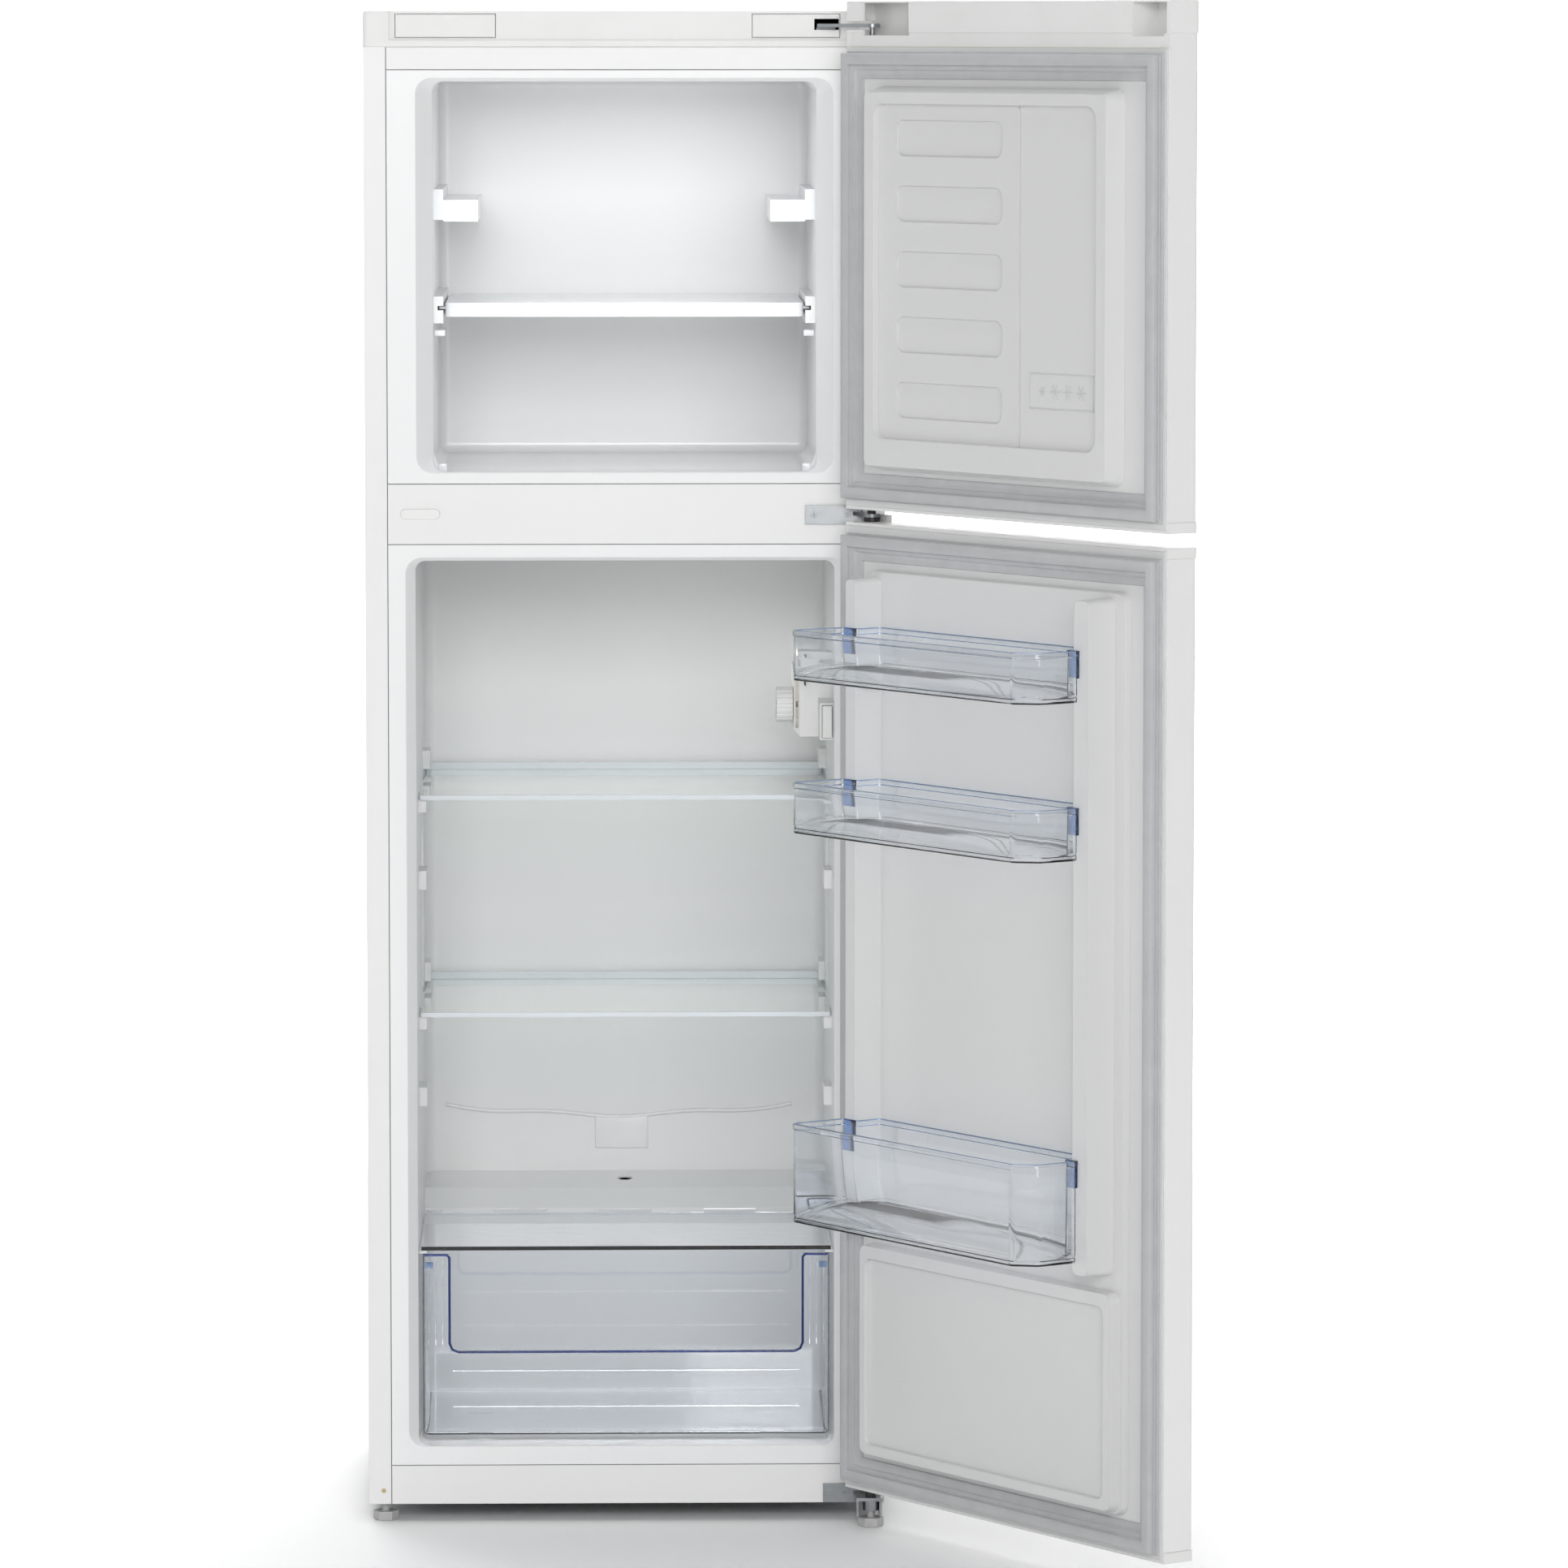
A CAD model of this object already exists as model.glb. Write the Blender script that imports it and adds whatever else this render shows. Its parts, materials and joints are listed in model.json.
import json
from math import atan2, cos, pi, radians, sin, tan

import bmesh
import bpy
from mathutils import Euler, Matrix, Vector


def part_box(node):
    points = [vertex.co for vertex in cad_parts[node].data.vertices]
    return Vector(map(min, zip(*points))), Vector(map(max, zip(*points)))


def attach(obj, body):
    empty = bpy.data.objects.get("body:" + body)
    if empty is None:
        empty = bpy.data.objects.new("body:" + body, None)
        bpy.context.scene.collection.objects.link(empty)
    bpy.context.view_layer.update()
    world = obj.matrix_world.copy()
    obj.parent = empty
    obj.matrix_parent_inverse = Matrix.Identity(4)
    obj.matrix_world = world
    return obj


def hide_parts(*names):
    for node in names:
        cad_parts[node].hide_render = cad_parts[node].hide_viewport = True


bl_info = {
    "name": "Top Freezer Refrigerator",
    "version": (1, 0, 0),
    "blender": (4, 5, 0),
    "location": "3D View > Sidebar > Refrigerator",
    "description": "Dresses the refrigerator's frame with its seals, baskets, moulded details and finishes",
    "category": "Object",
}

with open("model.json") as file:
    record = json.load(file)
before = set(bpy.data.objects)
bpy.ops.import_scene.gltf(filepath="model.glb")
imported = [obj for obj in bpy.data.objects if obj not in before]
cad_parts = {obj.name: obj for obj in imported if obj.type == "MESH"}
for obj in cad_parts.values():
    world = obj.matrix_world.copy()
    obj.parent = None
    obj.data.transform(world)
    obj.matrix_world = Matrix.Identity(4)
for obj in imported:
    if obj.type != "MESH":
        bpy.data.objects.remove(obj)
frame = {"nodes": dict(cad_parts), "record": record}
NODES = frame["nodes"]
JOINTS = {joint["name"]: joint for joint in frame["record"]["behaviour"]["joints"]}
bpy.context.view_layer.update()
MM = 0.001

# Both doors turn about one upright line and stand open by the angle that would close them.
HINGE = Vector(JOINTS["freezer_door_hinge"]["pos_m"])
HINGE.z = 0.0
DOOR_ANGLE = -radians(JOINTS["freezer_door_hinge"]["range_deg"][0])
DOOR_PLACE = Matrix.Translation(HINGE) @ Matrix.Rotation(DOOR_ANGLE, 4, "Z")
ORIGIN = Matrix.Identity(4)


# =====================================================================================
# Settings
# =====================================================================================
class FridgeSizes(bpy.types.PropertyGroup):
    """Sizes of the added pieces, in metres."""

    basket_wall: bpy.props.FloatProperty(
        name="Basket wall",
        description="Thickness of a door basket's moulded wall",
        default=2.2 * MM,
        unit="LENGTH",
    )
    rim_bead: bpy.props.FloatProperty(
        name="Rim bead",
        description="How far the rolled rim of a basket stands out",
        default=1.1 * MM,
        unit="LENGTH",
    )
    ridge_radius: bpy.props.FloatProperty(
        name="Water ridge",
        description="Radius of the moulded ridge that leads meltwater to the drain",
        default=2.4 * MM,
        unit="LENGTH",
    )
    label_line: bpy.props.FloatProperty(
        name="Label line",
        description="Width of the raised frame of the freezer door's star label",
        default=1.6 * MM,
        unit="LENGTH",
    )
    floor_size: bpy.props.FloatProperty(
        name="Floor", description="Width of the studio floor", default=30.0, unit="LENGTH"
    )


class FridgeColours(bpy.types.PropertyGroup):
    """Colours that a user would change, as sRGB hex."""

    paint: bpy.props.StringProperty(
        name="Paint", description="Baked paint of the cabinet and doors", default="#E8E8E7"
    )
    liner: bpy.props.StringProperty(
        name="Liner", description="Thermoformed inner walls", default="#F1F1F1"
    )
    seal: bpy.props.StringProperty(
        name="Seal", description="Magnetic door seals", default="#C6C7C8"
    )
    clear: bpy.props.StringProperty(
        name="Clear plastic", description="Baskets, crisper drawer and its cover", default="#FDFEFF"
    )


# =====================================================================================
# Colour, material and node helpers
# =====================================================================================
def linear(code):
    """An sRGB hex colour as the linear RGBA that shaders take."""
    parts = [int(code[i : i + 2], 16) / 255 for i in (1, 3, 5)]
    return [c / 12.92 if c <= 0.04045 else ((c + 0.055) / 1.055) ** 2.4 for c in parts] + [1.0]


def add(tree, kind, settings=None, **inputs):
    """Adds a node, sets its properties, and sets or links its inputs (an underscore is a space)."""
    made = tree.nodes.new(kind)
    for key, value in (settings or {}).items():
        setattr(made, key, value)
    for key, value in inputs.items():
        name = key.replace("_", " ")
        socket = made.inputs[int(name[5:])] if name.startswith("input") else made.inputs[name]
        if isinstance(value, bpy.types.NodeSocket):
            tree.links.new(value, socket)
        else:
            socket.default_value = value
    return made


def grain(size):
    """Noise scale that gives features about this many millimetres across."""
    return 1.0 / (size * MM)


def surface(name, colour, tint, patch, rough, rough_spread, bump, edge=0.0, **sockets):
    """A Principled material whose colour, roughness and relief vary by procedural noise.

    tint is the second colour that shows in patches of patch millimetres, bump is a list of
    (grain in millimetres, height in millimetres, detail), and edge rounds shaded edges.
    """
    made = bpy.data.materials.new(name)
    made.use_nodes = True
    tree = made.node_tree
    tree.nodes.clear()
    place = add(tree, "ShaderNodeTexCoord").outputs["Object"]
    cloud = add(
        tree, "ShaderNodeTexNoise", Vector=place, Scale=grain(patch), Detail=4.0, Roughness=0.6
    ).outputs["Fac"]
    blend = add(
        tree, "ShaderNodeMix", {"data_type": "RGBA"}, Factor=cloud,
        input6=linear(colour), input7=linear(tint),
    ).outputs[2]
    fine = add(
        tree, "ShaderNodeTexNoise", Vector=place, Scale=grain(patch / 6), Detail=3.0
    ).outputs["Fac"]
    roughness = add(
        tree, "ShaderNodeMapRange", Value=fine,
        To_Min=rough - rough_spread, To_Max=rough + rough_spread,
    ).outputs["Result"]
    normal = None
    if edge:
        normal = add(tree, "ShaderNodeBevel", {"samples": 4}, Radius=edge * MM).outputs["Normal"]
    for size, height, detail in bump:
        relief = add(
            tree, "ShaderNodeTexNoise", Vector=place, Scale=grain(size), Detail=detail
        ).outputs["Fac"]
        links = {"Height": relief, "Distance": height * MM, "Strength": 1.0}
        if normal is not None:
            links["Normal"] = normal
        normal = add(tree, "ShaderNodeBump", **links).outputs["Normal"]
    links = {"Base_Color": blend, "Roughness": roughness, "Normal": normal, **sockets}
    shader = add(tree, "ShaderNodeBsdfPrincipled", **links)
    add(tree, "ShaderNodeOutputMaterial", Surface=shader.outputs["BSDF"])
    return made


# =====================================================================================
# Materials
# =====================================================================================
def baked_paint(colour):
    """Powder-coated steel: even white with the faint orange peel of a sprayed coat."""
    return surface(
        "white_powder_coated_steel", colour, "#F0F0EF", 420.0, 0.34, 0.02,
        [(9.0, 0.02, 2.0), (2.2, 0.006, 1.0)], 1.2, Coat_Weight=0.25, Coat_Roughness=0.22,
    )


def grained_abs(colour):
    """Moulded ABS: slightly duller than the paint, with a fine spark-eroded grain."""
    return surface(
        "white_moulded_abs", colour, "#E6E6E4", 120.0, 0.46, 0.06,
        [(1.1, 0.012, 2.0)], 0.9, IOR=1.53,
    )


def thermoformed_hips(name, colour, tint):
    """Vacuum-formed high-impact polystyrene: glossy, gently wavy from the stretching of the sheet."""
    return surface(
        name, colour, tint, 420.0, 0.3, 0.015,
        [(70.0, 0.06, 1.0), (3.0, 0.005, 2.0)], 1.6,
        IOR=1.59, Coat_Weight=0.15, Coat_Roughness=0.15,
    )


def moulded_polystyrene(colour):
    """Injection-moulded polystyrene of the freezer shelf and rails: glossy, faint flow marks."""
    return surface(
        "white_moulded_polystyrene", colour, "#E4E8EB", 60.0, 0.2, 0.05,
        [(26.0, 0.03, 1.0)], 0.8, IOR=1.59,
    )


def soft_pvc(colour):
    """Extruded PVC of the magnetic seals: matt, with faint dust in its folds."""
    return surface(
        "grey_soft_pvc", colour, "#B2B4B6", 34.0, 0.58, 0.09,
        [(2.0, 0.06, 3.0), (14.0, 0.12, 1.0)], 0.6, IOR=1.53, Sheen_Weight=0.12,
    )


def zinc_plated_steel():
    """Zinc-plated pressed steel of the hinges: silvery, with cloudy passivation."""
    return surface(
        "zinc_plated_steel", "#A8AAAC", "#8C9093", 11.0, 0.33, 0.09,
        [(0.9, 0.02, 3.0)], 0.6, Metallic=1.0,
    )


def galvanised_sheet():
    """Hot-dip galvanised sheet: zinc crystals a few centimetres across, with faint scratches."""
    made = surface(
        "galvanised_sheet_steel", "#B9BCBE", "#A6AAAD", 60.0, 0.42, 0.08,
        [(1.5, 0.02, 3.0)], 0.8, Metallic=1.0,
    )
    tree = made.node_tree
    place = tree.nodes["Texture Coordinate"].outputs["Object"]
    spangle = add(
        tree, "ShaderNodeTexVoronoi", Vector=place, Scale=grain(22.0), Randomness=1.0
    ).outputs["Color"]
    level = add(tree, "ShaderNodeSeparateColor", Color=spangle).outputs["Red"]
    shade = add(tree, "ShaderNodeMapRange", Value=level, To_Min=0.84, To_Max=1.0).outputs["Result"]
    shader = tree.nodes["Principled BSDF"]
    before = shader.inputs["Base Color"].links[0].from_socket
    tint = add(tree, "ShaderNodeVectorMath", {"operation": "SCALE"}, input0=before, Scale=shade)
    tree.links.new(tint.outputs["Vector"], shader.inputs["Base Color"])
    return made


def levelling_nylon():
    """Grey glass-filled nylon of the levelling feet, scuffed where they are turned."""
    return surface(
        "grey_filled_nylon", "#C4C4C3", "#A9A9A8", 9.0, 0.5, 0.1, [(0.8, 0.05, 3.0)], 0.6, IOR=1.53
    )


def black_enamel():
    """Stoved black enamel of the compressor's shell: deep gloss with a little dust on top."""
    return surface(
        "black_stoved_enamel", "#0B0B0C", "#1D1D1E", 40.0, 0.24, 0.08,
        [(5.0, 0.05, 2.0)], 1.5, Coat_Weight=0.6, Coat_Roughness=0.12,
    )


def black_rubber():
    """Nitrile rubber of the compressor's mounts: dead matt black with a dusty bloom."""
    return surface(
        "black_nitrile_rubber", "#161616", "#2A2A29", 12.0, 0.72, 0.08, [(1.2, 0.08, 3.0)], 0.8
    )


def black_polypropylene(name, rough):
    """Moulded black polypropylene: satin, faintly scuffed on corners."""
    return surface(name, "#1A1A1B", "#262627", 20.0, rough, 0.08, [(1.0, 0.04, 3.0)], 0.7)


def drain_polyethylene():
    """Blow-moulded polyethylene of the drain tube: waxy off-white."""
    return surface(
        "white_polyethylene", "#DEDDD6", "#CFCEC5", 25.0, 0.42, 0.06, [(6.0, 0.08, 2.0)], 0.6,
        Subsurface_Weight=0.1,
    )


def copper_tube():
    """Annealed copper tube: warm metal that has browned unevenly near its joints."""
    return surface(
        "annealed_copper_tube", "#C07A55", "#8A4E35", 28.0, 0.34, 0.1,
        [(2.0, 0.03, 3.0)], 0.5, Metallic=1.0,
    )


def rolled_aluminium():
    """Roll-bonded aluminium of the cold plates: bright, faintly streaked."""
    return surface(
        "roll_bonded_aluminium", "#D2D4D6", "#BFC2C5", 18.0, 0.36, 0.08, [(1.4, 0.03, 3.0)], 0.6,
        Metallic=1.0,
    )


def blown_foam():
    """Rigid polyurethane foam: yellowish, with open cells about half a millimetre across."""
    return surface(
        "rigid_polyurethane_foam", "#E3D3A0", "#D2BE84", 45.0, 0.86, 0.05, [(1.6, 0.5, 4.0)]
    )


def let_light_through(made, colour):
    """Lets lamplight pass straight through a clear wall, so that what it shuts in stays lit."""
    tree = made.node_tree
    way = add(tree, "ShaderNodeLightPath").outputs
    either = add(
        tree, "ShaderNodeMath", {"operation": "MAXIMUM"},
        input0=way["Is Shadow Ray"], input1=way["Is Diffuse Ray"],
    ).outputs["Value"]
    clear = add(tree, "ShaderNodeBsdfTransparent", Color=linear(colour)).outputs["BSDF"]
    shader = tree.nodes["Principled BSDF"].outputs["BSDF"]
    mixed = add(tree, "ShaderNodeMixShader", Fac=either, input1=shader, input2=clear)
    tree.links.new(mixed.outputs["Shader"], tree.nodes["Material Output"].inputs["Surface"])
    return made


def clear_plastic(name, colour, tint, rough, through="#FCFDFE"):
    """Clear moulded polystyrene: bluish, with faint flow waves; thick edges look deeper blue."""
    made = surface(
        name, colour, tint, 90.0, rough, 0.02, [(22.0, 0.03, 1.0)],
        IOR=1.59, Transmission_Weight=1.0,
    )
    return let_light_through(made, through)


def toughened_glass():
    """Toughened float glass of the shelves: a faint green cast and almost no relief."""
    made = surface(
        "toughened_float_glass", "#FBFEFD", "#F8FCFB", 160.0, 0.03, 0.01, [(120.0, 0.03, 1.0)],
        IOR=1.52, Transmission_Weight=1.0,
    )
    return let_light_through(made, "#FAFDFC")


def lamp_glass():
    """Frosted lamp bulb that glows warm white."""
    return surface(
        "frosted_lamp_glass", "#FFF3DC", "#FFE9C4", 8.0, 0.35, 0.05, [(1.0, 0.02, 2.0)],
        Emission_Color=linear("#FFF6E8"), Emission_Strength=1.5,
    )


def studio_card():
    """Matt painted studio floor, off-white, and clear when it is seen from behind."""
    made = surface(
        "matt_studio_paint", "#FAFAFA", "#F6F6F6", 900.0, 0.8, 0.04, [(40.0, 0.05, 2.0)]
    )
    tree = made.node_tree
    output = next(n for n in tree.nodes if n.type == "OUTPUT_MATERIAL")
    painted = output.inputs["Surface"].links[0].from_socket
    behind = add(tree, "ShaderNodeNewGeometry").outputs["Backfacing"]
    clear = add(tree, "ShaderNodeBsdfTransparent").outputs["BSDF"]
    mixed = add(tree, "ShaderNodeMixShader", Fac=behind, input1=painted, input2=clear)
    tree.links.new(mixed.outputs["Shader"], output.inputs["Surface"])
    return made


MATERIALS = {}


def make_materials(colours):
    """Makes every material once and files it under the record's slot that it finishes."""
    white = thermoformed_hips("thermoformed_polystyrene", colours.liner, "#EDEEEE")
    door_white = thermoformed_hips("door_liner_polystyrene", "#E0E0DF", "#DBDBDB")
    black = black_polypropylene("black_polypropylene", 0.5)
    paint = baked_paint(colours.paint)
    clear = clear_plastic("clear_polystyrene", colours.clear, "#FAFCFF", 0.03)
    MATERIALS.update(
        outer_paint=paint,
        door_paint=paint,
        cap_plastic=grained_abs("#EFEFEE"),
        liner_plastic=white,
        door_liner_plastic=door_white,
        shelf_plastic=moulded_polystyrene("#F2F4F6"),
        foam=blown_foam(),
        gasket_rubber=soft_pvc(colours.seal),
        zinc_steel=zinc_plated_steel(),
        galvanised_sheet=galvanised_sheet(),
        washer_plastic=black_polypropylene("dark_acetal", 0.36),
        foot_plastic=levelling_nylon(),
        roller_plastic=black,
        axle_steel=zinc_plated_steel(),
        shelf_glass=toughened_glass(),
        shelf_trim=moulded_polystyrene("#E7EEF4"),
        clear_plastic=clear,
        clear_edge=clear_plastic("clear_polystyrene_edge", "#B9CFF3", "#A9C3EE", 0.06, "#E3ECF9"),
        drawer_edge=clear_plastic("deep_polystyrene_edge", "#2F4AA0", "#273E8E", 0.12, "#8FA0CC"),
        housing_plastic=grained_abs("#E9E9E7"),
        knob_plastic=grained_abs("#F0F0EE"),
        bulb_glass=lamp_glass(),
        black_enamel=black_enamel(),
        mount_rubber=black_rubber(),
        black_plastic=black,
        drain_plastic=drain_polyethylene(),
        copper_tube=copper_tube(),
        cold_plate=rolled_aluminium(),
        seam_shade=surface(
            "unpainted_folded_edge", "#6E6F70", "#5C5D5E", 30.0, 0.6, 0.05, [(2.0, 0.01, 2.0)]
        ),
        label_plastic=surface(
            "embossed_label_plastic", "#D6D6D5", "#C9CACB", 10.0, 0.45, 0.05, [(1.0, 0.02, 2.0)]
        ),
    )


# =====================================================================================
# Mesh helpers
# =====================================================================================
def piece(name, bm, body, material, place=ORIGIN, replaced=(), smooth=35.0):
    """Turns a bmesh into a finished piece that rides on a body and takes a record slot."""
    bmesh.ops.recalc_face_normals(bm, faces=bm.faces)
    bmesh.ops.transform(bm, matrix=place, verts=bm.verts)
    mesh = bpy.data.meshes.new(name)
    bm.to_mesh(mesh)
    bm.free()
    return settle(name, mesh, body, material, replaced, smooth)


def settle(name, mesh, body, material, replaced=(), smooth=35.0):
    """Links a mesh as a piece, shades it smooth up to an angle and ties it to the frame."""
    mesh.polygons.foreach_set("use_smooth", [True] * len(mesh.polygons))
    mesh.set_sharp_from_angle(angle=radians(smooth))
    made = bpy.data.objects.new(name, mesh)
    bpy.context.collection.objects.link(made)
    made.data.materials.clear()
    made.data.materials.append(MATERIALS[material])
    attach(made, body)
    if replaced:
        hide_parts(*replaced)
    return made


def door_box(node):
    """Lowest and highest corner of a door's node in the frame that turns with the door."""
    back = DOOR_PLACE.inverted()
    points = [back @ v.co for v in NODES[node].data.vertices]
    low = Vector([min(p[i] for p in points) for i in range(3)])
    high = Vector([max(p[i] for p in points) for i in range(3)])
    return low, high


def skin_rings(bm, rings, closed=False):
    """Joins rings of points with quads; closed also joins the last ring to the first."""
    made = [[bm.verts.new(p) for p in ring] for ring in rings]
    pairs = list(zip(made, made[1:]))
    if closed:
        pairs.append((made[-1], made[0]))
    for one, two in pairs:
        count = len(one)
        for i in range(count):
            j = (i + 1) % count
            bm.faces.new((one[i], one[j], two[j], two[i]))
    return made


def rounded(points, radii, steps=5):
    """A closed plan outline whose corners are turned into arcs."""
    made = []
    count = len(points)
    for i, radius in enumerate(radii):
        corner = Vector(points[i])
        before = (Vector(points[i - 1]) - corner).normalized()
        after = (Vector(points[(i + 1) % count]) - corner).normalized()
        half = before.angle(after) / 2
        reach = radius / tan(half)
        start = corner + before * reach
        end = corner + after * reach
        centre = corner + (before + after).normalized() * (radius / sin(half))
        first = atan2(start.y - centre.y, start.x - centre.x)
        turn = atan2(end.y - centre.y, end.x - centre.x) - first
        turn = (turn + pi) % (2 * pi) - pi
        for k in range(steps + 1):
            angle = first + turn * k / steps
            made.append(centre + Vector((cos(angle), sin(angle))) * radius)
    return made


def inset(outline, amount):
    """The outline moved inwards by an amount, each point along the bisector of its sides."""
    made = []
    count = len(outline)
    for i, point in enumerate(outline):
        before = (point - outline[i - 1]).normalized()
        after = (outline[(i + 1) % count] - point).normalized()
        one = Vector((-before.y, before.x))
        two = Vector((-after.y, after.x))
        both = (one + two) / (1.0 + one.dot(two))
        made.append(point + both * amount)
    return made


def soft_block(bm, low, high, radius, segments=3):
    """A block between two corners with all its edges rounded."""
    made = bmesh.ops.create_cube(bm, size=1.0)["verts"]
    low, high = Vector(low), Vector(high)
    for vert in made:
        vert.co = Vector([low[i] + (vert.co[i] + 0.5) * (high[i] - low[i]) for i in range(3)])
    edges = {edge for vert in made for edge in vert.link_edges}
    bmesh.ops.bevel(
        bm, geom=list(edges), offset=radius, segments=segments, profile=0.5, affect="EDGES"
    )


def dress(*names):
    """Gives CAD nodes the finish of their slot in the record."""
    slots = {sub["node"]: sub["material_slot"] for sub in frame["record"]["subparts"]}
    for name in names:
        for place in NODES[name].material_slots:
            place.material = MATERIALS[slots[name]]


# =====================================================================================
# Geometry Nodes: rows, sweeps and rings of small parts
# =====================================================================================
def new_tree(name, inputs, takes_mesh=False):
    """A geometry node tree with named inputs, and its group input and output nodes."""
    tree = bpy.data.node_groups.new(name, "GeometryNodeTree")
    if takes_mesh:
        tree.interface.new_socket("Geometry", in_out="INPUT", socket_type="NodeSocketGeometry")
    for label, kind in inputs:
        tree.interface.new_socket(label, in_out="INPUT", socket_type=f"NodeSocket{kind}")
    tree.interface.new_socket("Geometry", in_out="OUTPUT", socket_type="NodeSocketGeometry")
    return tree, add(tree, "NodeGroupInput").outputs


def end_tree(tree, geometry, material):
    """Realises the instances, sets the material and closes a tree."""
    real = add(tree, "GeometryNodeRealizeInstances", Geometry=geometry).outputs["Geometry"]
    painted = add(tree, "GeometryNodeSetMaterial", Geometry=real, Material=material)
    add(tree, "NodeGroupOutput", Geometry=painted.outputs["Geometry"])
    return tree


def row_tree():
    """Blocks in a straight row: ribs, slats and vent bars."""
    tree, given = new_tree(
        "row_of_ribs",
        [("Count", "Int"), ("Start", "Vector"), ("Step", "Vector"), ("Size", "Vector"),
         ("Material", "Material")],
    )
    line = add(
        tree, "GeometryNodeMeshLine", {"mode": "OFFSET"},
        Count=given["Count"], Start_Location=given["Start"], Offset=given["Step"],
    ).outputs["Mesh"]
    rib = add(
        tree, "GeometryNodeMeshCube", Size=given["Size"], Vertices_X=3, Vertices_Y=3, Vertices_Z=3
    ).outputs["Mesh"]
    row = add(tree, "GeometryNodeInstanceOnPoints", Points=line, Instance=rib)
    return end_tree(tree, row.outputs["Instances"], given["Material"])


def screw_tree():
    """Domed screw heads spaced evenly along a path."""
    tree, given = new_tree(
        "screws_on_a_path",
        [("Spacing", "Float"), ("Radius", "Float"), ("Turn", "Vector"), ("Material", "Material")],
        takes_mesh=True,
    )
    path = add(tree, "GeometryNodeMeshToCurve", Mesh=given["Geometry"]).outputs["Curve"]
    spots = add(
        tree, "GeometryNodeCurveToPoints", {"mode": "LENGTH"}, Curve=path, Length=given["Spacing"]
    ).outputs["Points"]
    ball = add(
        tree, "GeometryNodeMeshUVSphere", Segments=16, Rings=8, Radius=given["Radius"]
    ).outputs["Mesh"]
    dome = add(
        tree, "GeometryNodeTransform", Geometry=ball, Scale=(1.0, 1.0, 0.42)
    ).outputs["Geometry"]
    heads = add(
        tree, "GeometryNodeInstanceOnPoints", Points=spots, Instance=dome, Rotation=given["Turn"]
    )
    return end_tree(tree, heads.outputs["Instances"], given["Material"])


def sweep_tree():
    """A round bead swept along a path, with closed ends."""
    tree, given = new_tree(
        "bead_on_a_path", [("Radius", "Float"), ("Material", "Material")], takes_mesh=True
    )
    path = add(tree, "GeometryNodeMeshToCurve", Mesh=given["Geometry"]).outputs["Curve"]
    ring = add(
        tree, "GeometryNodeCurvePrimitiveCircle", Resolution=12, Radius=given["Radius"]
    ).outputs["Curve"]
    bead = add(
        tree, "GeometryNodeCurveToMesh", Curve=path, Profile_Curve=ring, Fill_Caps=True
    ).outputs["Mesh"]
    return end_tree(tree, bead, given["Material"])


def tick_tree():
    """Short raised bars in part of a ring: the scale round a dial."""
    tree, given = new_tree(
        "ticks_on_a_ring",
        [("Count", "Int"), ("Radius", "Float"), ("Sweep", "Float"), ("Size", "Vector"),
         ("Material", "Material")],
    )
    arc = add(
        tree, "GeometryNodeCurveArc", {"mode": "RADIUS"}, Resolution=given["Count"],
        Radius=given["Radius"], Sweep_Angle=given["Sweep"],
    ).outputs["Curve"]
    spots = add(tree, "GeometryNodeCurveToPoints", {"mode": "EVALUATED"}, Curve=arc)
    bar = add(tree, "GeometryNodeMeshCube", Size=given["Size"]).outputs["Mesh"]
    ticks = add(
        tree, "GeometryNodeInstanceOnPoints", Points=spots.outputs["Points"], Instance=bar,
        Rotation=spots.outputs["Rotation"],
    )
    return end_tree(tree, ticks.outputs["Instances"], given["Material"])


def grow(name, tree, values, body, material, path=None, place=ORIGIN, bevel=0.0):
    """Evaluates a tree on a path, turns the result into a plain mesh and settles it as a piece."""
    start = bpy.data.meshes.new(f"{name}_path")
    if path:
        start.from_pydata(path, [(i, i + 1) for i in range(len(path) - 1)], [])
    carrier = bpy.data.objects.new(f"{name}_carrier", start)
    bpy.context.collection.objects.link(carrier)
    nodes = carrier.modifiers.new("shape", "NODES")
    nodes.node_group = tree
    ids = {item.name: item.identifier for item in tree.interface.items_tree if item.in_out == "INPUT"}
    for key, value in {**values, "Material": MATERIALS[material]}.items():
        nodes[ids[key]] = value
    if bevel:
        soften = carrier.modifiers.new("soften", "BEVEL")
        soften.width = bevel
        soften.segments = 2
    graph = bpy.context.evaluated_depsgraph_get()
    mesh = bpy.data.meshes.new_from_object(carrier.evaluated_get(graph))
    bpy.data.objects.remove(carrier)
    mesh.transform(place)
    if not len(mesh.vertices):
        raise RuntimeError(f"{name} came out empty")
    return settle(name, mesh, body, material)


# =====================================================================================
# Pieces
# =====================================================================================
class FRIDGE_OT_finishes(bpy.types.Operator):
    """Make the materials and give every CAD node its own finish"""

    bl_idname = "fridge.finishes"
    bl_label = "Finishes"

    def execute(self, context):
        make_materials(context.scene.fridge_colours)
        dress(*NODES)
        return {"FINISHED"}


# Half of the seal's section from its outer lip to its inner flap: distance in from the outer edge
# and height above the door's liner, in millimetres.
SEAL_SECTION = (
    (0.0, 0.0), (0.0, 1.8), (1.0, 2.8), (3.2, 3.2), (4.2, 4.4), (3.0, 5.6), (2.0, 7.4),
    (2.0, 10.6), (2.8, 12.8), (4.8, 13.8), (12.4, 13.8), (14.6, 12.8), (15.4, 10.6),
    (15.0, 8.8), (15.8, 7.6), (18.4, 7.2), (20.2, 6.2), (20.6, 4.8), (21.8, 3.8),
    (27.2, 3.2), (30.2, 2.2), (31.0, 0.8), (31.0, 0.0),
)


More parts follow.
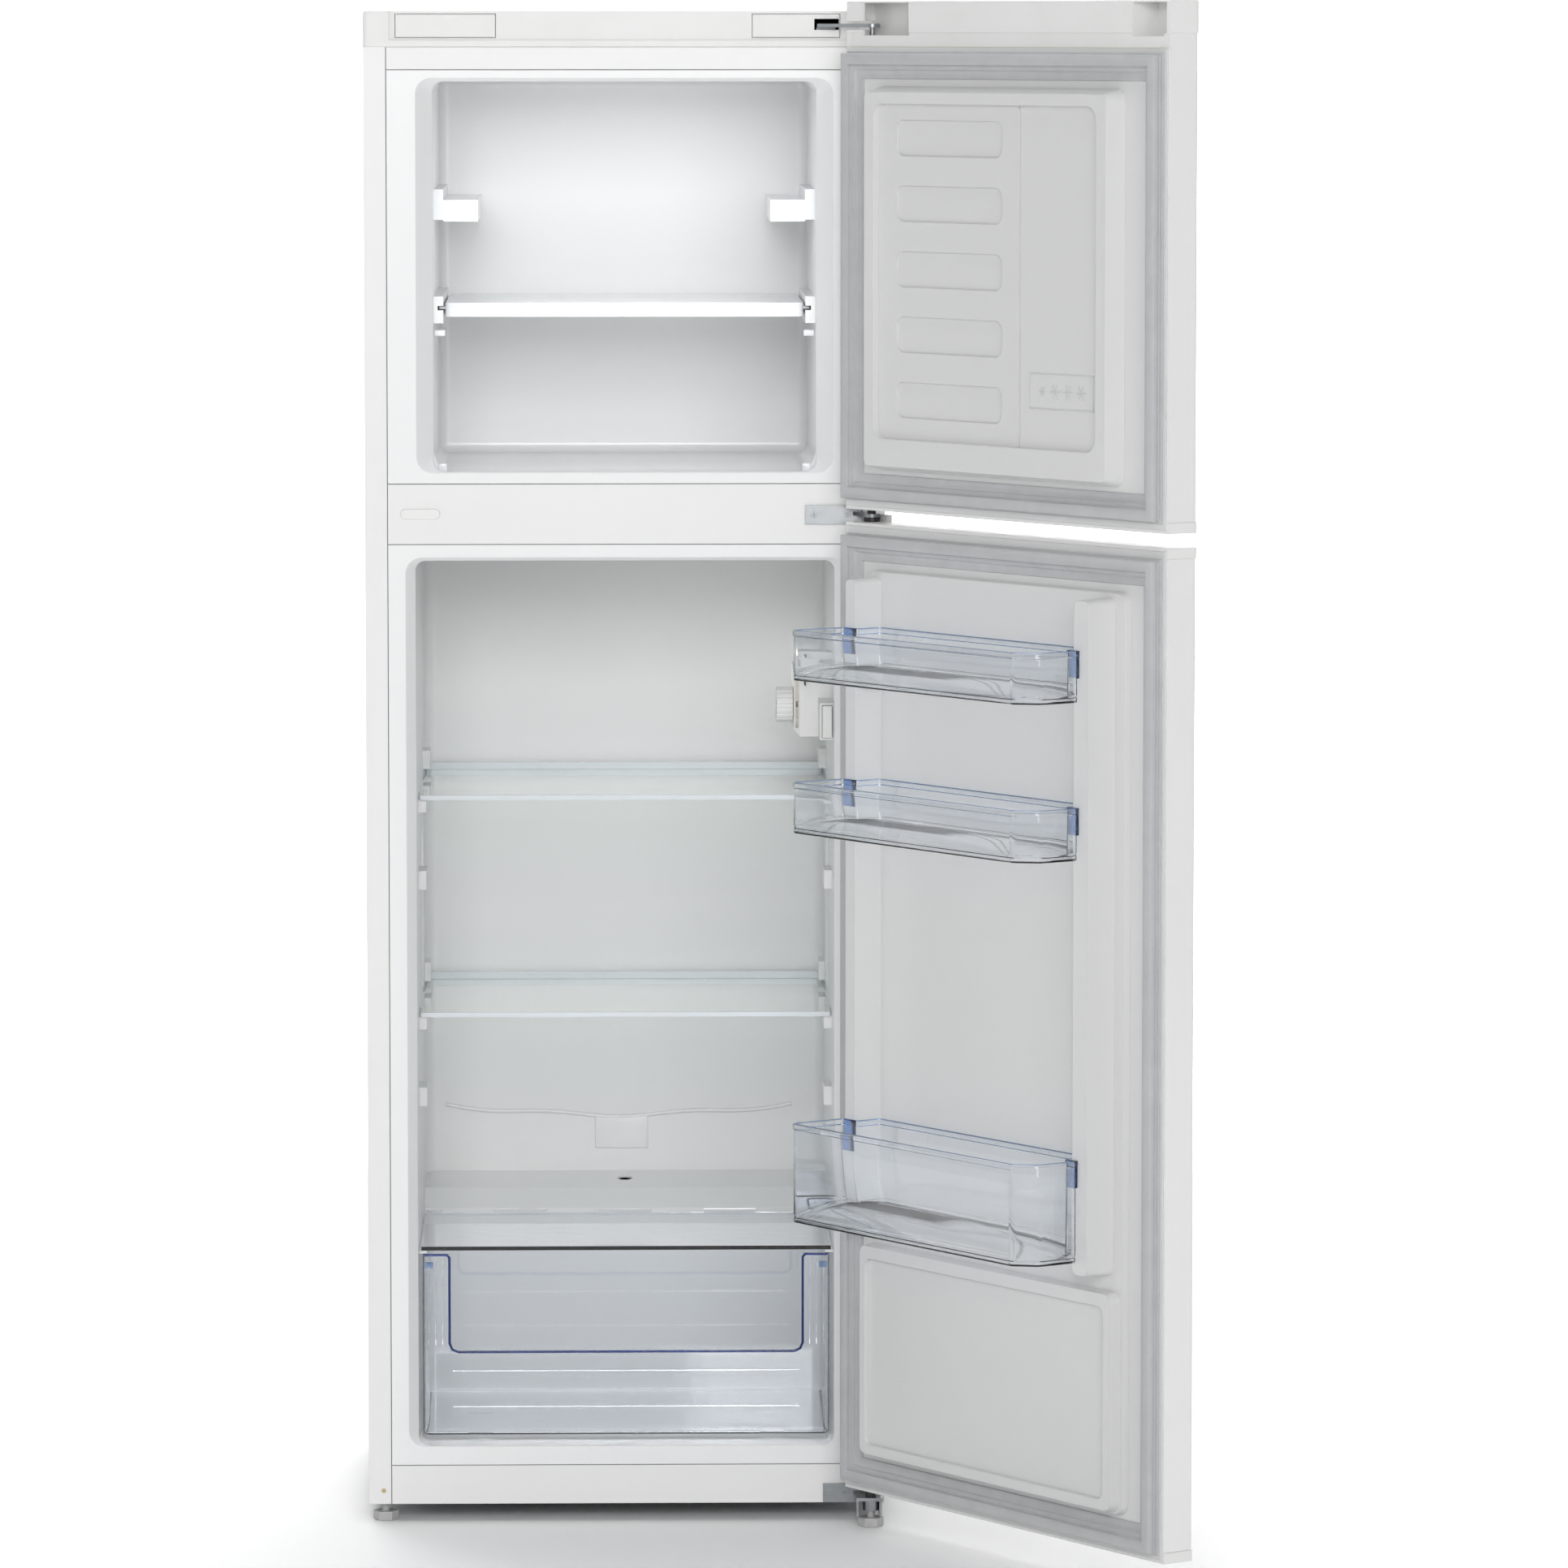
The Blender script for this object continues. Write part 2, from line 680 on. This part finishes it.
class FRIDGE_OT_seals(bpy.types.Operator):
    """Make the folded magnetic seals round both doors"""

    bl_idname = "fridge.seals"
    bl_label = "Door seals"

    def execute(self, context):
        for door in ("freezer_door", "fridge_door"):
            node = f"{door}_gasket"
            low, high = door_box(node)
            bm = bmesh.new()
            corners = []
            for sx, sz in ((0, 0), (1, 0), (1, 1), (0, 1)):
                ring = []
                for across, height in SEAL_SECTION:
                    gap = across * MM
                    x = high.x - gap if sx else low.x + gap
                    z = high.z - gap if sz else low.z + gap
                    ring.append((x, low.y + height * MM, z))
                corners.append(ring)
            skin_rings(bm, corners, closed=True)
            piece(f"{door}_seal", bm, door, "gasket_rubber", DOOR_PLACE, (node,))
        return {"FINISHED"}


def basket_plan(low, high, dyke, rear):
    """The plan of a door basket: wide in front of the door's two dykes, narrow between them."""
    depth = 22.0 * MM
    points = (
        (low.x, dyke), (rear[0], dyke), (rear[0], low.y), (rear[1], low.y), (rear[1], dyke),
        (high.x, dyke), (high.x, high.y), (low.x + depth, high.y), (low.x, high.y - depth),
    )
    radii = [5.0, 3.0, 7.0, 7.0, 3.0, 5.0, 9.0, 12.0, 12.0]
    return rounded([Vector(p) for p in points], [r * MM for r in radii])


class FRIDGE_OT_baskets(bpy.types.Operator):
    """Make the clear door baskets with their rolled rims, clips and blue edges"""

    bl_idname = "fridge.baskets"
    bl_label = "Door baskets"

    def execute(self, context):
        sizes = context.scene.fridge_sizes
        liner_high = door_box("fridge_door_liner")[1]
        for level in ("top", "middle", "lower"):
            node = f"door_basket_{level}"
            body = f"basket_{level}"
            low, high = door_box(node)
            height = high.z - low.z
            dyke = liner_high.y + 2.0 * MM
            rear = (low.x + 20.0 * MM, high.x - 25.0 * MM)
            high.y -= 1.2 * MM
            plan = basket_plan(low, high, dyke, rear)
            bead, wall = sizes.rim_bead, sizes.basket_wall
            steps = (
                (6.0 * MM, 0.0), (2.0 * MM, 0.0), (0.7 * MM, 0.5 * MM), (0.0, 2.0 * MM),
                (0.0, 5.6 * MM), (0.7 * MM, 6.4 * MM), (0.7 * MM, 8.4 * MM), (0.0, 9.2 * MM),
                (0.0, height - 7.0 * MM), (-bead, height - 6.0 * MM),
                (-bead, height - 1.0 * MM), (-0.2 * MM, height),
                (wall + 0.2 * MM, height), (wall + 0.6 * MM, height - 1.0 * MM),
                (wall + 0.2 * MM, height - 3.0 * MM), (wall, height - 4.0 * MM),
                (wall, wall + 2.4 * MM), (wall + 0.8 * MM, wall + 0.8 * MM),
                (wall + 2.6 * MM, wall),
            )
            bm = bmesh.new()
            rings = [
                [(p.x, p.y, low.z + up) for p in inset(plan, across)] for across, up in steps
            ]
            made = skin_rings(bm, rings)
            bm.faces.new(made[0])
            bm.faces.new(made[-1])
            bmesh.ops.triangulate(bm, faces=[f for f in bm.faces if len(f.verts) > 4])
            piece(node + "_moulding", bm, body, "clear_plastic", DOOR_PLACE, (node,))
            # the deep blue look of the cut edge along the rim
            rim = [(p.x, p.y, high.z - 0.5 * MM) for p in inset(plan, wall / 2)]
            rim.append(rim[0])
            grow(
                f"{node}_rim", TREES["sweep"], {"Radius": 0.75 * MM}, body,
                "clear_edge", path=rim, place=DOOR_PLACE,
            )
            # clips that hook over the dykes
            bm = bmesh.new()
            drop = min(30.0 * MM, height * 0.6)
            for left, right in (
                (low.x + 1.0 * MM, rear[0] - 2.0 * MM), (rear[1] + 2.0 * MM, high.x - 3.0 * MM)
            ):
                soft_block(
                    bm, (left, dyke - 1.4 * MM, high.z - drop),
                    (right, dyke + 1.0 * MM, high.z + 0.2 * MM), 0.5 * MM,
                )
            piece(f"{node}_clips", bm, body, "clear_edge", DOOR_PLACE)
        return {"FINISHED"}


class FRIDGE_OT_crisper(bpy.types.Operator):
    """Make the crisper drawer's deep blue edges, corner hooks and moulded ribs"""

    bl_idname = "fridge.crisper"
    bl_label = "Crisper details"

    def execute(self, context):
        low, high = map(Vector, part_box("crisper_drawer"))
        post = 31.0 * MM
        lip = low.z + 98.0 * MM
        front = low.y + 1.2 * MM
        edge = [
            (low.x + 2.0 * MM, front, high.z - 0.8 * MM),
            (low.x + post - 3.0 * MM, front, high.z - 0.8 * MM),
            (low.x + post, front, high.z - 4.0 * MM),
            (low.x + post, front, lip + 10.0 * MM),
            (low.x + post + 3.0 * MM, front, lip + 3.0 * MM),
            (low.x + post + 10.0 * MM, front, lip),
        ]
        path = edge + [(-x, y, z) for x, y, z in reversed(edge)]
        grow(
            "crisper_drawer_edge", TREES["sweep"], {"Radius": 1.5 * MM}, "crisper_drawer",
            "drawer_edge", path=path,
        )
        ring = rounded(
            [Vector(p) for p in (
                (low.x + 1.2 * MM, low.y + 4.0 * MM), (high.x - 1.2 * MM, low.y + 4.0 * MM),
                (high.x - 1.2 * MM, high.y - 1.2 * MM), (low.x + 1.2 * MM, high.y - 1.2 * MM),
            )],
            [8.0 * MM] * 4,
        )
        # the rim's path starts at the second corner and leaves out the front
        corner = len(ring) // 4
        rim = [(p.x, p.y, high.z - 0.6 * MM) for p in ring[corner:] + ring[:corner]]
        grow(
            "crisper_drawer_rim", TREES["sweep"], {"Radius": 0.9 * MM}, "crisper_drawer",
            "clear_edge", path=rim[corner - 1:3 * corner + 1],
        )
        # upright flutes on the two front posts
        for side, label in ((-1, "left"), (1, "right")):
            x = side * (abs(low.x) - 7.0 * MM)
            grow(
                f"crisper_flutes_{label}", TREES["row"],
                {"Count": 3, "Start": (x, low.y + 2.2 * MM, (lip + high.z) / 2),
                 "Step": (-side * 8.0 * MM, 0.0, 0.0),
                 "Size": (1.6 * MM, 1.0 * MM, (high.z - lip) * 0.86)},
                "crisper_drawer", "clear_plastic", bevel=0.3 * MM,
            )
        # two steps along the low front panel
        for drop, label in ((22.0, "high"), (64.0, "low")):
            z = lip - drop * MM
            path = [
                (low.x + post + 4.0 * MM, low.y + 2.2 * MM, z),
                (high.x - post - 4.0 * MM, low.y + 2.2 * MM, z),
            ]
            grow(
                f"crisper_step_{label}", TREES["sweep"], {"Radius": 1.0 * MM}, "crisper_drawer",
                "clear_plastic", path=path,
            )
        # hooks at the top corners
        bm = bmesh.new()
        for side in (-1, 1):
            x = sorted((side * (abs(low.x) - 3.0 * MM), side * (abs(low.x) - 12.0 * MM)))
            soft_block(
                bm, (x[0], low.y - 0.8 * MM, high.z - 16.0 * MM),
                (x[1], low.y + 1.6 * MM, high.z - 9.0 * MM), 0.5 * MM,
            )
        piece("crisper_hooks", bm, "crisper_drawer", "clear_edge")
        return {"FINISHED"}


class FRIDGE_OT_fridge_walls(bpy.types.Operator):
    """Make the water ridge, drain lip and moulded side wall features of the fridge compartment"""

    bl_idname = "fridge.fridge_walls"
    bl_label = "Fridge wall mouldings"

    def execute(self, context):
        sizes = context.scene.fridge_sizes
        high = Vector(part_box("fridge_liner")[1])
        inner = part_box("upper_shelf_glass")[1].x + 2.5 * MM
        back = high.y - 2.0 * MM
        step_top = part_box("crisper_cover")[1].z + 26.0 * MM
        ridge = []
        count = 48
        for k in range(count + 1):
            t = k / count
            x = -inner * 0.9 + t * inner * 1.74
            sag = 0.55 * (1 - (2 * t - 1) ** 2) + 0.1 * sin(5.0 * pi * t)
            ridge.append((x, back - 0.8 * MM, step_top + 86.0 * MM - sag * 24.0 * MM))
        grow(
            "water_ridge", TREES["sweep"], {"Radius": sizes.ridge_radius}, "cabinet",
            "liner_plastic", path=ridge,
        )
        bm = bmesh.new()
        soft_block(
            bm, (-36.0 * MM, back - 2.6 * MM, step_top + 32.0 * MM),
            (28.0 * MM, back + 0.5 * MM, step_top + 72.0 * MM), 1.2 * MM,
        )
        piece("drain_lip", bm, "cabinet", "liner_plastic")
        # upright bands between the two shelves' ledges
        shelf_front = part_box("upper_shelf_glass")[0].y
        lower_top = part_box("lower_shelf_glass")[1].z
        upper_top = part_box("upper_shelf_glass")[1].z
        for side, label in ((-1, "left"), (1, "right")):
            grow(
                f"wall_bands_{label}", TREES["row"],
                {"Count": 2,
                 "Start": (
                     side * (inner - 0.6 * MM), shelf_front + 180.0 * MM,
                     (lower_top + upper_top) / 2 - 20.0 * MM,
                 ),
                 "Step": (0.0, 45.0 * MM, 0.0),
                 "Size": (3.0 * MM, 9.0 * MM, upper_top - lower_top - 60.0 * MM)},
                "cabinet", "liner_plastic", bevel=1.2 * MM,
            )
        return {"FINISHED"}


class FRIDGE_OT_freezer_walls(bpy.types.Operator):
    """Make the corner gussets, basket hooks and shelf lip of the freezer compartment"""

    bl_idname = "fridge.freezer_walls"
    bl_label = "Freezer wall mouldings"

    def execute(self, context):
        rails_high = Vector(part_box("freezer_rails")[1])
        inner = rails_high.x
        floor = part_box("freezer_liner")[0].z + 5.5 * MM
        reach = 34.0 * MM
        bm = bmesh.new()
        for side in (-1, 1):
            outline = [Vector((0.0, 0.0)), Vector((reach, 0.0))]
            for k in range(1, 8):
                angle = pi / 2 * k / 8
                outline.append(Vector((reach * (1 - sin(angle)), reach * (1 - cos(angle)))))
            outline.append(Vector((0.0, reach)))
            hole = [
                Vector((7.0, 6.0)) * MM, Vector((18.0, 6.0)) * MM, Vector((11.0, 12.0)) * MM,
                Vector((7.0, 19.0)) * MM,
            ]
            near, far = 24.0 * MM, 27.5 * MM
            front = [bm.verts.new((side * (inner - p.x), near, floor + p.y)) for p in outline]
            rear = [bm.verts.new((side * (inner - p.x), far, floor + p.y)) for p in outline]
            count = len(outline)
            bm.faces.new(front)
            bm.faces.new(list(reversed(rear)))
            for i in range(count):
                j = (i + 1) % count
                bm.faces.new((front[i], rear[i], rear[j], front[j]))
            centre = sum(hole, Vector((0.0, 0.0))) / len(hole)
            soft_block(
                bm,
                (side * (inner - centre.x) - 5.0 * MM, 21.5 * MM, floor + centre.y - 6.0 * MM),
                (side * (inner - centre.x) + 5.0 * MM, 24.2 * MM, floor + centre.y + 6.0 * MM),
                1.2 * MM,
            )
        piece("freezer_gussets", bm, "cabinet", "shelf_plastic")
        shelf_low, shelf_high = map(Vector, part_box("freezer_shelf"))
        bm = bmesh.new()
        for side in (-1, 1):
            x = sorted((side * (inner - 0.5 * MM), side * (inner - 13.0 * MM)))
            soft_block(
                bm, (x[0], 66.0 * MM, shelf_low.z - 22.0 * MM),
                (x[1], 82.0 * MM, shelf_low.z - 15.0 * MM), 1.6 * MM,
            )
        piece("freezer_basket_hooks", bm, "cabinet", "shelf_plastic")
        lip = [
            (shelf_low.x + 14.0 * MM, shelf_low.y + 0.2 * MM, shelf_high.z - 4.0 * MM),
            (shelf_high.x - 14.0 * MM, shelf_low.y + 0.2 * MM, shelf_high.z - 4.0 * MM),
        ]
        grow(
            "freezer_shelf_lip", TREES["sweep"], {"Radius": 1.1 * MM}, "freezer_shelf",
            "shelf_plastic", path=lip,
        )
        return {"FINISHED"}


def star(bm, centre, radius, width, depth):
    """A raised six-armed asterisk on the door's inner face, about a centre given as (x, y, z)."""
    for k in range(3):
        turn = Matrix.Rotation(pi * k / 3, 4, "Y")
        arm = bmesh.new()
        soft_block(arm, (-radius, -depth, -width), (radius, depth, width), width * 0.5, 2)
        bmesh.ops.transform(arm, matrix=Matrix.Translation(centre) @ turn, verts=arm.verts)
        mesh = bpy.data.meshes.new("arm")
        arm.to_mesh(mesh)
        arm.free()
        bm.from_mesh(mesh)
        bpy.data.meshes.remove(mesh)


class FRIDGE_OT_label(bpy.types.Operator):
    """Make the embossed storage label on the freezer door: a frame with plain asterisks"""

    bl_idname = "fridge.label"
    bl_label = "Star label"

    def execute(self, context):
        line = context.scene.fridge_sizes.label_line
        low, high = door_box("freezer_door_liner")
        face = high.y - 8.0 * MM
        left, right = low.x + 108.0 * MM, low.x + 224.0 * MM
        foot, head = low.z + 124.0 * MM, low.z + 164.0 * MM
        bm = bmesh.new()
        bars = (
            ((left, foot), (right, foot + line)),
            ((left, head - line), (right, head)),
            ((left, foot), (left + line, head)),
            ((right - line, foot), (right, head)),
        )
        for one, two in bars:
            soft_block(
                bm, (one[0], face - 0.4 * MM, one[1]), (two[0], face + 0.9 * MM, two[1]), 0.4 * MM
            )
        middle = (foot + head) / 2
        for k in range(4):
            x = left + (0.2 + 0.2 * k) * (right - left)
            size = 9.0 * MM if k < 3 else 6.0 * MM
            star(bm, Vector((x, face + 0.3 * MM, middle)), size, 0.9 * MM, 0.6 * MM)
        piece("storage_label", bm, "freezer_door", "label_plastic", DOOR_PLACE)
        return {"FINISHED"}


class FRIDGE_OT_controls(bpy.types.Operator):
    """Make the thermostat's raised scale and pointer and the lamp cover's dark vents"""

    bl_idname = "fridge.controls"
    bl_label = "Controls"

    def execute(self, context):
        knob_low = Vector(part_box("thermostat_knob")[0])
        housing_low, housing_high = map(Vector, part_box("lamp_housing"))
        pivot = Vector(JOINTS["thermostat_turn"]["pos_m"])
        face = Matrix.Translation((knob_low.x + 0.9 * MM, pivot.y, pivot.z))
        face @= Euler((0.0, -pi / 2, 0.0)).to_matrix().to_4x4()
        grow(
            "knob_scale", TREES["ticks"],
            {"Count": 8, "Radius": 14.5 * MM, "Sweep": radians(270.0),
             "Size": (3.4 * MM, 0.8 * MM, 1.0 * MM)},
            "thermostat_knob", "label_plastic", place=face, bevel=0.15 * MM,
        )
        grow(
            "lamp_vents", TREES["row"],
            {"Count": 7,
             "Start": (housing_low.x + 12.0 * MM, housing_low.y + 30.0 * MM, housing_high.z - 16.0 * MM),
             "Step": (0.0, 12.0 * MM, 0.0), "Size": (1.4 * MM, 2.2 * MM, 11.0 * MM)},
            "cabinet", "black_plastic", bevel=0.3 * MM,
        )
        return {"FINISHED"}


class FRIDGE_OT_outside(bpy.types.Operator):
    """Make the screws and seams of the cabinet's back and the marks of its front"""

    bl_idname = "fridge.outside"
    bl_label = "Outside details"

    def execute(self, context):
        low, high = map(Vector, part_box("back_panel"))
        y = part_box("side_panels")[1].y - 0.2 * MM
        edge = 12.0 * MM
        loop = [
            (low.x + edge, y, low.z + edge), (low.x + edge, y, high.z - edge),
            (high.x - edge, y, high.z - edge), (high.x - edge, y, low.z + edge),
            (low.x + edge, y, low.z + edge),
        ]
        grow(
            "back_screws", TREES["screws"],
            {"Spacing": 0.21, "Radius": 3.8 * MM, "Turn": (pi / 2, 0.0, 0.0)},
            "cabinet", "zinc_steel", path=loop,
        )
        # the folded edges that show dark in the seams between the front panels
        top_low, top_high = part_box("top_rail")
        bar_low, bar_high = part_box("mullion_bar")
        foot_low, foot_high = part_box("bottom_rail")
        half = 0.36 * MM
        gap = 0.4 * MM
        depth = (1.2 * MM, 1.9 * MM)
        bm = bmesh.new()
        for z in (top_low.z - gap, bar_high.z + gap, bar_low.z - gap, foot_high.z + gap):
            soft_block(
                bm, (top_low.x - gap, depth[0], z - half), (top_high.x + gap, depth[1], z + half),
                0.1 * MM, 1,
            )
        for x in (top_low.x - gap, top_high.x + gap):
            soft_block(
                bm, (x - half, depth[0], foot_low.z), (x + half, depth[1], top_high.z), 0.1 * MM, 1
            )
        piece("front_seams", bm, "cabinet", "seam_shade")
        return {"FINISHED"}


class FRIDGE_OT_stage(bpy.types.Operator):
    """Make the pale studio: floor, soft lights and the camera"""

    bl_idname = "fridge.stage"
    bl_label = "Studio"

    def execute(self, context):
        scene = context.scene
        size = scene.fridge_sizes.floor_size
        bm = bmesh.new()
        sweep = [(-size / 2, 0.0), (size * 0.2, 0.0)]
        radius = size * 0.08
        for k in range(1, 13):
            angle = pi / 2 * k / 12
            sweep.append((size * 0.2 + radius * sin(angle), radius * (1 - cos(angle))))
        sweep.append((size * 0.2 + radius, size * 0.5))
        rows = [[bm.verts.new((x, y, z)) for y, z in sweep] for x in (-size / 2, size / 2)]
        for i in range(len(sweep) - 1):
            bm.faces.new((rows[0][i], rows[1][i], rows[1][i + 1], rows[0][i + 1]))
        mesh = bpy.data.meshes.new("studio_floor")
        bm.to_mesh(mesh)
        bm.free()
        floor = bpy.data.objects.new("studio_floor", mesh)
        scene.collection.objects.link(floor)
        mesh.polygons.foreach_set("use_smooth", [True] * len(mesh.polygons))
        mesh.materials.append(studio_card())

        world = bpy.data.worlds.new("studio")
        world.use_nodes = True
        world.node_tree.nodes["Background"].inputs["Color"].default_value = linear("#FCFDFF")
        world.node_tree.nodes["Background"].inputs["Strength"].default_value = 0.3
        scene.world = world
        for name, place, aim, width, power in (
            ("front", (1.5, -7.0, 2.4), (0.1, 0.0, 0.9), 2.8, 95.0),
            ("fill", (-0.5, -7.4, 3.0), (0.0, 0.0, 1.0), 1.8, 125.0),
            ("side", (-4.2, -2.2, 2.0), (0.0, 0.0, 0.9), 2.4, 16.0),
            ("top", (0.0, 1.0, 9.0), (0.0, 1.0, 0.0), 7.0, 280.0),
            ("rear", (-2.0, 4.6, 3.0), (0.0, 0.0, 0.9), 2.6, 60.0),
            ("backdrop", (0.0, 3.6, 3.2), (0.0, 9.0, 2.0), 5.0, 1150.0),
            ("freezer", (0.0, 0.02, 1.45), (0.0, 1.0, 1.45), 0.35, 0.35),
        ):
            lamp = bpy.data.lights.new(name, "AREA")
            lamp.size = width
            lamp.energy = power
            light = bpy.data.objects.new(name, lamp)
            scene.collection.objects.link(light)
            light.visible_camera = False
            light.location = place
            heading = Vector(aim) - Vector(place)
            light.rotation_euler = heading.to_track_quat("-Z", "Y").to_euler()

        glow = bpy.data.lights.new("compartment_lamp", "POINT")
        glow.energy = 0.06
        glow.shadow_soft_size = 0.03
        glow.color = linear("#FFFCF6")[:3]
        bulb_low, bulb_high = map(Vector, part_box("lamp_bulb"))
        lamp = bpy.data.objects.new("compartment_lamp", glow)
        scene.collection.objects.link(lamp)
        lamp.location = (bulb_low.x - 12.0 * MM, bulb_high.y + 48.0 * MM, bulb_high.z)

        lens = bpy.data.cameras.new("camera")
        lens.sensor_width = 36.0
        lens.lens = 191.1
        lens.clip_start, lens.clip_end = 0.5, 80.0
        camera = bpy.data.objects.new("camera", lens)
        scene.collection.objects.link(camera)
        camera.location = (-0.0304, -9.51, 1.7275)
        camera.rotation_euler = (pi / 2 - radians(5.24), 0.0, -radians(1.279))
        scene.camera = camera
        # the default film curve would turn white plastic grey
        scene.view_settings.view_transform = "Standard"
        return {"FINISHED"}


class FRIDGE_PT_build(bpy.types.Panel):
    """Lists the sizes, colours and steps of the refrigerator"""

    bl_label = "Refrigerator"
    bl_space_type = "VIEW_3D"
    bl_region_type = "UI"
    bl_category = "Refrigerator"

    def draw(self, context):
        for group in (context.scene.fridge_sizes, context.scene.fridge_colours):
            for name in group.__annotations__:
                self.layout.prop(group, name)
        for step in STEPS:
            self.layout.operator(step.bl_idname)


STEPS = (
    FRIDGE_OT_finishes,
    FRIDGE_OT_seals,
    FRIDGE_OT_baskets,
    FRIDGE_OT_crisper,
    FRIDGE_OT_fridge_walls,
    FRIDGE_OT_freezer_walls,
    FRIDGE_OT_label,
    FRIDGE_OT_controls,
    FRIDGE_OT_outside,
    FRIDGE_OT_stage,
)
CLASSES = (FridgeSizes, FridgeColours, *STEPS, FRIDGE_PT_build)
TREES = {}


def register():
    for item in CLASSES:
        bpy.utils.register_class(item)
    bpy.types.Scene.fridge_sizes = bpy.props.PointerProperty(type=FridgeSizes)
    bpy.types.Scene.fridge_colours = bpy.props.PointerProperty(type=FridgeColours)


def unregister():
    del bpy.types.Scene.fridge_sizes
    del bpy.types.Scene.fridge_colours
    for item in reversed(CLASSES):
        bpy.utils.unregister_class(item)


def main():
    """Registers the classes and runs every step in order."""
    register()
    TREES.update(row=row_tree(), screws=screw_tree(), sweep=sweep_tree(), ticks=tick_tree())
    for step in STEPS:
        group, name = step.bl_idname.split(".")
        getattr(getattr(bpy.ops, group), name)()


if __name__ == "__main__":
    main()
